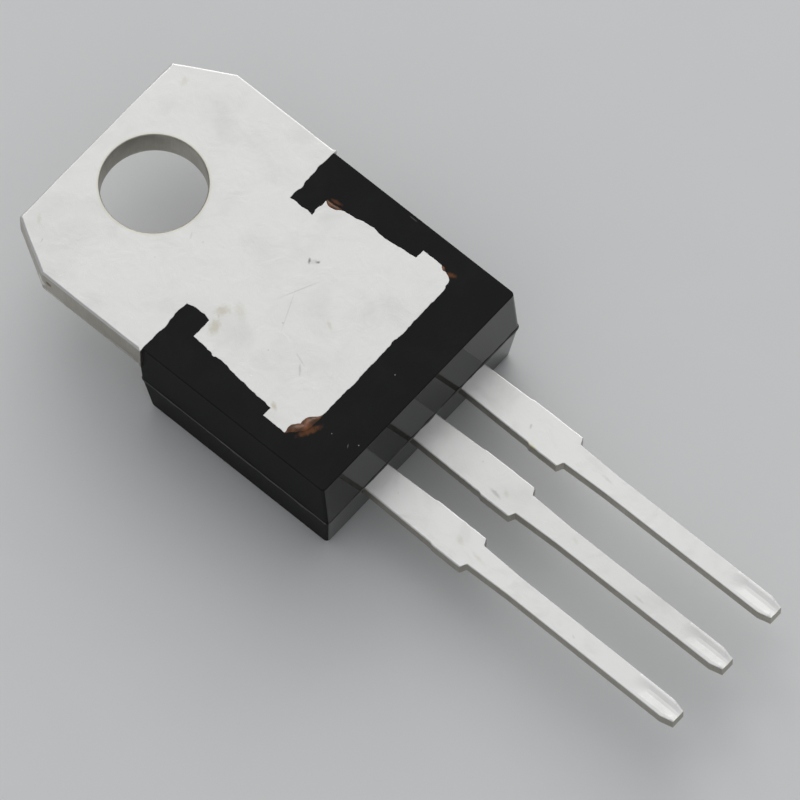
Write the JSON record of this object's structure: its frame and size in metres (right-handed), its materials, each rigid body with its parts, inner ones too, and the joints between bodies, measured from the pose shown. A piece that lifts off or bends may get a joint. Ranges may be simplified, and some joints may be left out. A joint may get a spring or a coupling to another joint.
{
  "type": "voltage regulator",
  "caption": "Linear voltage regulator in a flat epoxy package with a bolt-down metal tab, a bare mounting face and straight flat leads in one row.",
  "frame": {"origin": "centre of the mounting hole, on the bare mounting face of the metal tab", "axes": "+Z out of the mounting face, +Y along the tab away from the leads, +X across the leads towards the input lead; the part lies on the chip side of its body with the mounting face up"},
  "size_m": [0.0104, 0.0289, 0.0045],
  "materials": {
    "plated_header": "matte tin-nickel plate on copper, smudged and lightly scratched",
    "plated_lead": "matte tin plate on copper strip, sheared edges",
    "epoxy": "matte spark-eroded mould texture on the faces, polished lead end",
    "solder": "dull reflowed solder",
    "silicon": "polished silicon",
    "bond_wire": "drawn aluminium wire"
  },
  "bodies": {
    "root": {"header": "plated_header", "input_lead": "plated_lead", "output_lead": "plated_lead", "chip_solder": "solder", "silicon_chip": "silicon", "input_wire": "bond_wire", "output_wire": "bond_wire", "sense_wire": "bond_wire", "ground_wire": "bond_wire", "moulded_body": "epoxy"}
  },
  "joints": []
}
